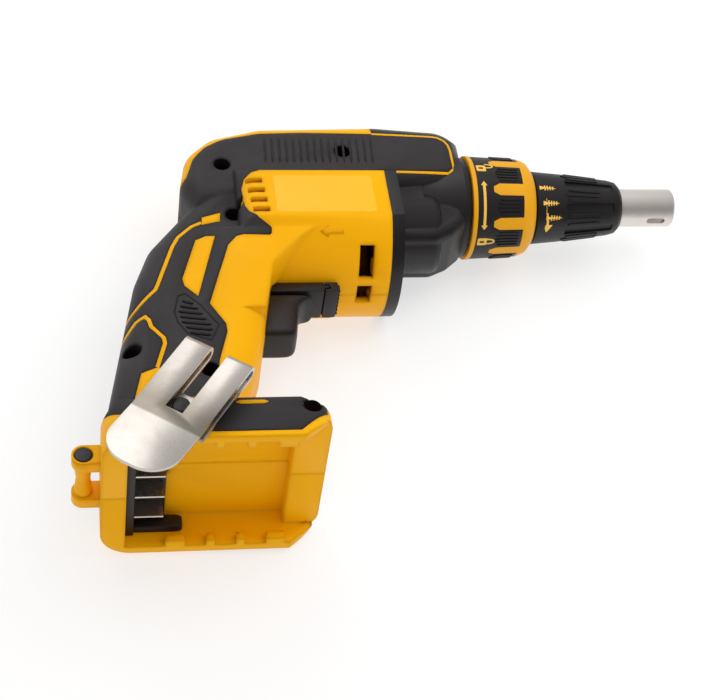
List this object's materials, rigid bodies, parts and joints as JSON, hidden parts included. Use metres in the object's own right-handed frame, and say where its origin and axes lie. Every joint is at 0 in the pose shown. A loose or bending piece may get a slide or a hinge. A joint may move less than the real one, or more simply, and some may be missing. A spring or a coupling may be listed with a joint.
{
  "type": "cordless drywall screwdriver",
  "caption": "Cordless drywall screwdriver lying on its side: pistol grip, motor barrel, depth-set nose, lock ring, trigger, battery dock foot, belt hook and tether post.",
  "frame": {"origin": "centre of the nose tube's mouth, on the spindle axis", "axes": "+X out of the nose along the spindle, +Y towards the top of the tool, +Z out of its right side, which is up as the tool lies"},
  "size_m": [0.2572, 0.2018, 0.0824],
  "materials": {
    "yellow_plastic": "moulded, fine grain",
    "dark_rubber": "matt over-mould",
    "black_plastic": "satin, glass-filled",
    "bright_steel": "satin nickel plate",
    "dark_steel": "black oxide",
    "machined_steel": "ground",
    "bronze": "sintered",
    "felt": "pressed felt",
    "core_steel": "laminated",
    "copper": "enamelled wire",
    "board": "coated board",
    "cast_alloy": "die cast",
    "tinned_brass": "tin plate",
    "lead_sleeve": "silicone sleeve"
  },
  "bodies": {
    "tool": {"gear_case": "black_plastic", "gear_case_screws": "dark_steel", "spindle_bush": "bronze", "spindle_seal": "felt", "bearing_plate": "cast_alloy", "gear_bearing": "machined_steel", "front_bearing": "machined_steel", "rear_bearing": "machined_steel", "stator_core": "core_steel", "stator_coils": "copper", "sensor_board": "board", "housing_right": "yellow_plastic", "housing_left": "yellow_plastic", "grip_right": "dark_rubber", "grip_left": "dark_rubber", "foot_cover_right": "dark_rubber", "foot_cover_left": "dark_rubber", "housing_screws": "dark_steel", "switch_module": "black_plastic", "switch_nose": "black_plastic", "control_tray": "black_plastic", "control_board": "board", "terminal_block": "black_plastic", "terminal_blades": "tinned_brass", "battery_leads": "lead_sleeve", "motor_leads": "lead_sleeve", "tether_post": "yellow_plastic", "tether_screw": "dark_steel", "belt_hook": "bright_steel", "belt_hook_screw": "dark_steel"},
    "rotor": {"rotor_core": "core_steel", "rotor_magnets": "core_steel", "rotor_shaft": "machined_steel", "cooling_fan": "black_plastic", "pinion": "machined_steel"},
    "gear": {"drive_gear": "machined_steel"},
    "clutch_slide": {"thrust_washer": "machined_steel", "clutch_spring": "machined_steel"},
    "spindle": {"spindle": "machined_steel", "bit_ring": "machined_steel"},
    "nose": {"nose_base": "black_plastic"},
    "lock_ring": {"lock_ring": "black_plastic", "lock_ring_trim": "yellow_plastic"},
    "collar": {"depth_collar": "black_plastic"},
    "tube": {"nose_tube": "bright_steel"},
    "trigger": {"trigger": "black_plastic", "trigger_plunger": "black_plastic"},
    "button": {"direction_button": "black_plastic"}
  },
  "joints": [
    {"name": "rotor_spin", "type": "hinge", "parent": "tool", "child": "rotor", "pos_m": [-0.165, -0.0154, 0], "axis": [1, 0, 0], "continuous": true},
    {"name": "gear_spin", "type": "hinge", "parent": "tool", "child": "gear", "pos_m": [-0.12, 0, 0], "axis": [1, 0, 0], "continuous": true},
    {"name": "spindle_press", "type": "slide", "parent": "tool", "child": "clutch_slide", "axis": [-1, 0, 0], "range_m": [0, 0.003], "stiffness_N_per_m": 1500, "deforming": ["clutch_spring"]},
    {"name": "spindle_spin", "type": "hinge", "parent": "clutch_slide", "child": "spindle", "pos_m": [-0.08, 0, 0], "axis": [1, 0, 0], "continuous": true},
    {"name": "nose_pull", "type": "slide", "parent": "tool", "child": "nose", "axis": [1, 0, 0], "range_m": [0, 0.06]},
    {"name": "lock_turn", "type": "hinge", "parent": "nose", "child": "lock_ring", "pos_m": [-0.077, 0, 0], "axis": [1, 0, 0], "range_deg": [0, 40]},
    {"name": "collar_turn", "type": "hinge", "parent": "nose", "child": "collar", "pos_m": [-0.044, 0, 0], "axis": [1, 0, 0], "range_deg": [-360, 360]},
    {"name": "depth_set", "type": "slide", "parent": "nose", "child": "tube", "axis": [1, 0, 0], "range_m": [-0.0031, 0.0031]},
    {"name": "trigger_pull", "type": "slide", "parent": "tool", "child": "trigger", "axis": [-1, 0, 0], "range_m": [0, 0.006], "stiffness_N_per_m": 900},
    {"name": "direction", "type": "slide", "parent": "tool", "child": "button", "axis": [0, 0, 1], "range_m": [-0.003, 0.003]}
  ],
  "couplings": [
    {"joint": "gear_spin", "follows": "rotor_spin", "ratio": -0.29412},
    {"joint": "depth_set", "follows": "collar_turn", "m_per_rad": 0.00047746}
  ]
}
